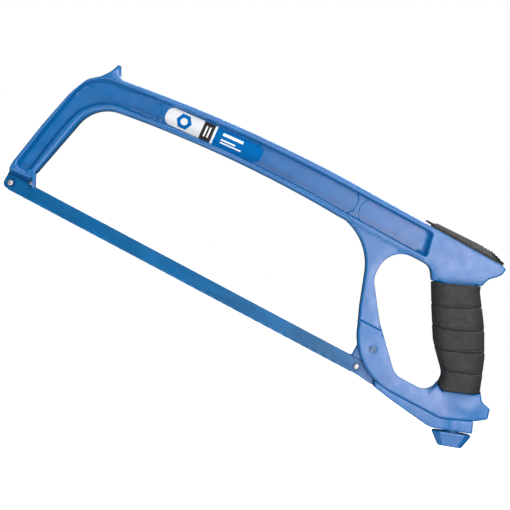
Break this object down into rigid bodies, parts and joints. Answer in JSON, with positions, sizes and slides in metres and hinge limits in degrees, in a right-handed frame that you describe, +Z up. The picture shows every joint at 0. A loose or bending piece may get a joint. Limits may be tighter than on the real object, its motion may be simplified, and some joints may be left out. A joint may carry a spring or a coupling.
{
  "type": "hacksaw",
  "caption": "High-tension hacksaw: cast I-section frame with a D-shaped handle and rubber grip, and a blade tensioned by a lever and a thumb knob.",
  "frame": {"origin": "middle of the hand grip, on the saw's middle plane", "axes": "+X along the blade from its front end to the handle, +Z up from the teeth to the top bar, +Y across the saw away from the side that the blade is mounted on"},
  "size_m": [0.4142, 0.03, 0.1508],
  "materials": {
    "casting_paint": "satin blue powder coat over cast aluminium, fine orange peel",
    "lever_paint": "satin blue powder coat over cast aluminium, fine orange peel",
    "knob_paint": "satin blue powder coat over cast aluminium",
    "blade_paint": "thin blue lacquer over hardened steel",
    "peg_steel": "turned",
    "screw_steel": "zinc plated",
    "bush_bronze": "sintered bronze",
    "liner_plastic": "moulded",
    "grip_rubber": "matt soft rubber",
    "pad_rubber": "matt soft rubber",
    "pad_plastic": "moulded",
    "badge_print": "printed foil"
  },
  "bodies": {
    "frame": {"frame_casting": "casting_paint", "front_blade_pin": "peg_steel", "front_stop_peg": "peg_steel", "pivot_pin": "peg_steel", "screw_insert": "screw_steel", "grip_liner": "liner_plastic", "grip_sleeve": "grip_rubber", "thumb_pad": "pad_rubber", "thumb_pad_carrier": "pad_plastic", "thumb_pad_screws": "screw_steel", "badge": "badge_print"},
    "blade": {"blade": "blade_paint"},
    "lever": {"tension_lever": "lever_paint", "rear_blade_pin": "peg_steel", "pivot_bush": "bush_bronze", "pivot_washers": "bush_bronze"},
    "thrust": {"thrust_saddle": "screw_steel", "thrust_washer": "bush_bronze"},
    "knob": {"tension_knob": "knob_paint", "tension_screw": "screw_steel", "knob_roll_pin": "screw_steel", "screw_tip_ring": "screw_steel"}
  },
  "joints": [
    {"name": "screw_travel", "type": "slide", "parent": "frame", "child": "thrust", "axis": [0.3256, 0, -0.9455], "range_m": [0, 0.0055]},
    {"name": "knob_turn", "type": "hinge", "parent": "thrust", "child": "knob", "pos_m": [0.03105, 0, -0.0673], "axis": [0.3256, 0, -0.9455], "range_deg": [0, 1980]},
    {"name": "lever_release", "type": "hinge", "parent": "frame", "child": "lever", "pos_m": [-0.0528, 0, -0.0395], "axis": [0, 1, 0], "range_deg": [0, 4.4]},
    {"name": "blade_unhook", "type": "hinge", "parent": "frame", "child": "blade", "pos_m": [-0.364, -0.00005, -0.057], "axis": [0, 0, -1], "range_deg": [0, 4]}
  ],
  "couplings": [
    {"joint": "knob_turn", "follows": "screw_travel", "rad_per_m": 6283.2},
    {"joint": "lever_release", "follows": "screw_travel", "rad_per_m": 13.737}
  ]
}
